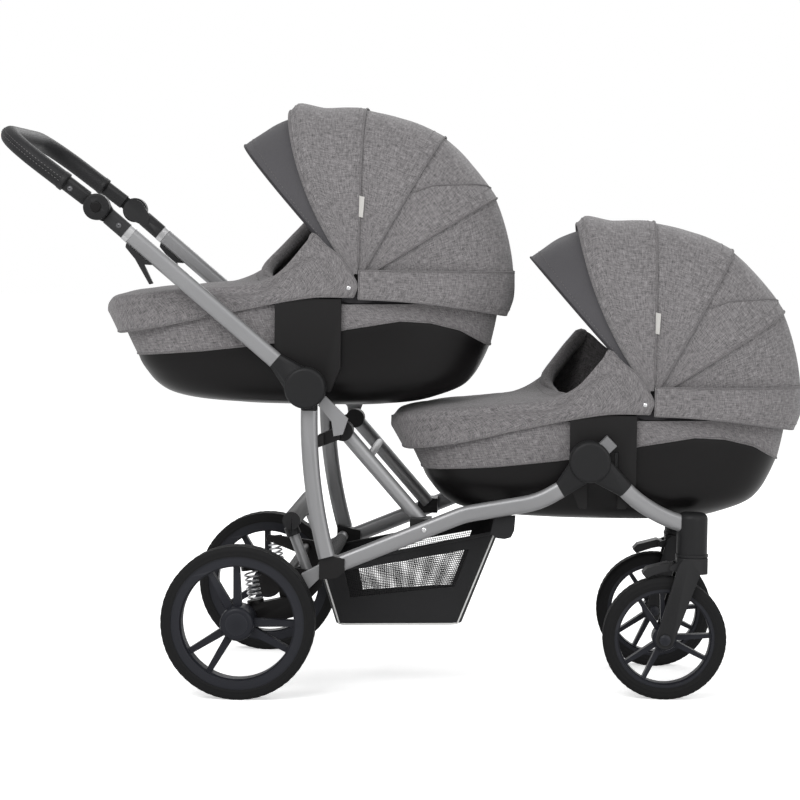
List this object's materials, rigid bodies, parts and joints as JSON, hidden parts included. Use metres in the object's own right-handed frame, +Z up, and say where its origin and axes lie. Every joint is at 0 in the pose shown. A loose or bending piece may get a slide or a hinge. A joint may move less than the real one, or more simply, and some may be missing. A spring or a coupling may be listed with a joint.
{
  "type": "twin pram",
  "caption": "Tandem twin pram: tubular folding chassis with sprung rear and swivelling front wheels, carrying an upper and a lower carrycot with folding hoods.",
  "frame": {"origin": "on the floor under the middle of the whole length and width", "axes": "+X forward, the way the pram is pushed; +Y to the pusher's left; +Z up"},
  "size_m": [1.5542, 0.61, 1.1297],
  "materials": {
    "frame_metal": "satin",
    "black_plastic": "moulded",
    "charcoal_plastic": "fine grain",
    "grey_plastic": "satin",
    "spring_steel": "bright",
    "grip": "stitched leatherette",
    "rim": "satin",
    "tyre": "foam rubber",
    "basket_cloth": "woven",
    "linen": "heathered linen weave",
    "visor_cloth": "smooth",
    "mattress_cloth": "cotton"
  },
  "bodies": {
    "chassis": {"rear_legs": "frame_metal", "lower_tubes": "frame_metal", "strut_frame": "frame_metal", "leg_pods": "charcoal_plastic", "strut_clamps": "black_plastic", "steel_brackets": "frame_metal", "rear_axle": "black_plastic", "coil_springs": "spring_steel", "front_pods": "charcoal_plastic", "front_tubes": "frame_metal", "caster_heads": "charcoal_plastic", "basket": "basket_cloth"},
    "brake": {"brake_arms": "frame_metal", "brake_bar": "charcoal_plastic"},
    "push_arms": {"push_arms": "frame_metal", "arm_pods": "charcoal_plastic", "handle_sockets": "charcoal_plastic"},
    "handle": {"handle_tube": "frame_metal", "handle_grip": "grip", "handle_discs": "charcoal_plastic"},
    "trigger_left": {"trigger_left": "charcoal_plastic"},
    "tilt_button_left": {"tilt_button_left": "black_plastic"},
    "swing_left": {"swing_arm_left": "black_plastic"},
    "rear_wheel_left": {"rear_rim_left": "rim", "rear_tyre_left": "tyre"},
    "caster_left": {"fork_left": "charcoal_plastic"},
    "swivel_lock_left": {"lock_lever_left": "charcoal_plastic"},
    "front_wheel_left": {"front_rim_left": "rim", "front_tyre_left": "tyre"},
    "release_left": {"release_button_left": "grey_plastic"},
    "trigger_right": {"trigger_right": "charcoal_plastic"},
    "tilt_button_right": {"tilt_button_right": "black_plastic"},
    "swing_right": {"swing_arm_right": "black_plastic"},
    "rear_wheel_right": {"rear_rim_right": "rim", "rear_tyre_right": "tyre"},
    "caster_right": {"fork_right": "charcoal_plastic"},
    "swivel_lock_right": {"lock_lever_right": "charcoal_plastic"},
    "front_wheel_right": {"front_rim_right": "rim", "front_tyre_right": "tyre"},
    "release_right": {"release_button_right": "grey_plastic"},
    "rear_cot": {"rear_cot_tub": "black_plastic", "rear_cot_band": "linen", "rear_cot_mattress": "mattress_cloth", "rear_cot_apron": "linen", "rear_cot_adapters": "black_plastic", "rear_hood_base": "linen"},
    "rear_hood_front": {"rear_hood_front": "linen"},
    "rear_hood_mid": {"rear_hood_mid": "linen"},
    "rear_hood_back": {"rear_hood_back": "linen"},
    "rear_visor": {"rear_visor": "visor_cloth"},
    "front_cot": {"front_cot_tub": "black_plastic", "front_cot_band": "linen", "front_cot_mattress": "mattress_cloth", "front_cot_apron": "linen", "front_cot_adapters": "black_plastic", "front_hood_base": "linen"},
    "front_hood_front": {"front_hood_front": "linen"},
    "front_hood_mid": {"front_hood_mid": "linen"},
    "front_hood_back": {"front_hood_back": "linen"},
    "front_visor": {"front_visor": "visor_cloth"}
  },
  "joints": [
    {"name": "brake_press", "type": "hinge", "parent": "chassis", "child": "brake", "pos_m": [-0.16848, 0, 0.224], "axis": [0, -1, 0], "range_deg": [0, 18]},
    {"name": "arm_fold", "type": "hinge", "parent": "chassis", "child": "push_arms", "pos_m": [-0.17448, 0, 0.585], "axis": [0, 1, 0], "range_deg": [0, 100]},
    {"name": "handle_tilt", "type": "hinge", "parent": "push_arms", "child": "handle", "pos_m": [-0.57283, 0, 0.91925], "axis": [0, -1, 0], "range_deg": [-45, 30]},
    {"name": "trigger_left_pull", "type": "slide", "parent": "push_arms", "child": "trigger_left", "axis": [-0.766, 0, 0.6428], "range_m": [0, 0.012], "stiffness_N_per_m": 600, "springref_m": -0.006},
    {"name": "tilt_button_left_press", "type": "slide", "parent": "handle", "child": "tilt_button_left", "axis": [0, -1, 0], "range_m": [0, 0.003], "stiffness_N_per_m": 800, "springref_m": -0.002},
    {"name": "swing_left_travel", "type": "hinge", "parent": "chassis", "child": "swing_left", "pos_m": [-0.20048, 0.221, 0.168], "axis": [0, 1, 0], "range_deg": [0, 7], "stiffness_Nm_per_rad": 180, "springref_deg": -11.46, "deforming": ["coil_springs"]},
    {"name": "rear_wheel_left_spin", "type": "hinge", "parent": "swing_left", "child": "rear_wheel_left", "pos_m": [-0.29248, 0.272, 0.145], "axis": [0, 1, 0], "continuous": true},
    {"name": "caster_left_swivel", "type": "hinge", "parent": "chassis", "child": "caster_left", "pos_m": [0.55952, 0.1765, 0.273], "axis": [0, 0, 1], "continuous": true},
    {"name": "swivel_lock_left_flip", "type": "hinge", "parent": "caster_left", "child": "swivel_lock_left", "pos_m": [0.52252, 0.1765, 0.253], "axis": [0, 1, 0], "range_deg": [0, 20]},
    {"name": "front_wheel_left_spin", "type": "hinge", "parent": "caster_left", "child": "front_wheel_left", "pos_m": [0.51052, 0.1765, 0.117], "axis": [0, 1, 0], "continuous": true},
    {"name": "release_left_press", "type": "slide", "parent": "chassis", "child": "release_left", "axis": [-0.7071, 0, -0.7071], "range_m": [0, 0.005], "stiffness_N_per_m": 700, "springref_m": -0.003},
    {"name": "trigger_right_pull", "type": "slide", "parent": "push_arms", "child": "trigger_right", "axis": [-0.766, 0, 0.6428], "range_m": [0, 0.012], "stiffness_N_per_m": 600, "springref_m": -0.006},
    {"name": "tilt_button_right_press", "type": "slide", "parent": "handle", "child": "tilt_button_right", "axis": [0, 1, 0], "range_m": [0, 0.003], "stiffness_N_per_m": 800, "springref_m": -0.002},
    {"name": "swing_right_travel", "type": "hinge", "parent": "chassis", "child": "swing_right", "pos_m": [-0.20048, -0.221, 0.168], "axis": [0, 1, 0], "range_deg": [0, 7], "stiffness_Nm_per_rad": 180, "springref_deg": -11.46, "deforming": ["coil_springs"]},
    {"name": "rear_wheel_right_spin", "type": "hinge", "parent": "swing_right", "child": "rear_wheel_right", "pos_m": [-0.29248, -0.272, 0.145], "axis": [0, 1, 0], "continuous": true},
    {"name": "caster_right_swivel", "type": "hinge", "parent": "chassis", "child": "caster_right", "pos_m": [0.55952, -0.1765, 0.273], "axis": [0, 0, 1], "continuous": true},
    {"name": "swivel_lock_right_flip", "type": "hinge", "parent": "caster_right", "child": "swivel_lock_right", "pos_m": [0.52252, -0.1765, 0.253], "axis": [0, 1, 0], "range_deg": [0, 20]},
    {"name": "front_wheel_right_spin", "type": "hinge", "parent": "caster_right", "child": "front_wheel_right", "pos_m": [0.51052, -0.1765, 0.117], "axis": [0, 1, 0], "continuous": true},
    {"name": "release_right_press", "type": "slide", "parent": "chassis", "child": "release_right", "axis": [-0.7071, 0, -0.7071], "range_m": [0, 0.005], "stiffness_N_per_m": 700, "springref_m": -0.003},
    {"name": "rear_cot_lift", "type": "slide", "parent": "chassis", "child": "rear_cot", "axis": [0, 0, -1], "range_m": [-0.2, 0]},
    {"name": "rear_hood_front_fold", "type": "hinge", "parent": "rear_cot", "child": "rear_hood_front", "pos_m": [-0.08048, 0, 0.785], "axis": [0, 1, 0], "range_deg": [0, 76]},
    {"name": "rear_hood_mid_fold", "type": "hinge", "parent": "rear_cot", "child": "rear_hood_mid", "pos_m": [-0.08048, 0, 0.785], "axis": [0, 1, 0], "range_deg": [0, 50.67]},
    {"name": "rear_hood_back_fold", "type": "hinge", "parent": "rear_cot", "child": "rear_hood_back", "pos_m": [-0.08048, 0, 0.785], "axis": [0, 1, 0], "range_deg": [0, 25.33]},
    {"name": "rear_visor_tuck", "type": "hinge", "parent": "rear_hood_front", "child": "rear_visor", "pos_m": [-0.08048, 0, 0.785], "axis": [0, 1, 0], "range_deg": [0, 8]},
    {"name": "front_cot_lift", "type": "slide", "parent": "chassis", "child": "front_cot", "axis": [0, 0, -1], "range_m": [-0.005, 0]},
    {"name": "front_hood_front_fold", "type": "hinge", "parent": "front_cot", "child": "front_hood_front", "pos_m": [0.48152, 0, 0.573], "axis": [0, 1, 0], "range_deg": [0, 76]},
    {"name": "front_hood_mid_fold", "type": "hinge", "parent": "front_cot", "child": "front_hood_mid", "pos_m": [0.48152, 0, 0.573], "axis": [0, 1, 0], "range_deg": [0, 50.67]},
    {"name": "front_hood_back_fold", "type": "hinge", "parent": "front_cot", "child": "front_hood_back", "pos_m": [0.48152, 0, 0.573], "axis": [0, 1, 0], "range_deg": [0, 25.33]},
    {"name": "front_visor_tuck", "type": "hinge", "parent": "front_hood_front", "child": "front_visor", "pos_m": [0.48152, 0, 0.573], "axis": [0, 1, 0], "range_deg": [0, 8]}
  ],
  "couplings": [
    {"joint": "tilt_button_right_press", "follows": "tilt_button_left_press", "ratio": 1},
    {"joint": "release_right_press", "follows": "release_left_press", "ratio": 1},
    {"joint": "rear_hood_mid_fold", "follows": "rear_hood_front_fold", "ratio": 0.66667},
    {"joint": "rear_hood_back_fold", "follows": "rear_hood_front_fold", "ratio": 0.33333},
    {"joint": "front_hood_mid_fold", "follows": "front_hood_front_fold", "ratio": 0.66667},
    {"joint": "front_hood_back_fold", "follows": "front_hood_front_fold", "ratio": 0.33333}
  ]
}
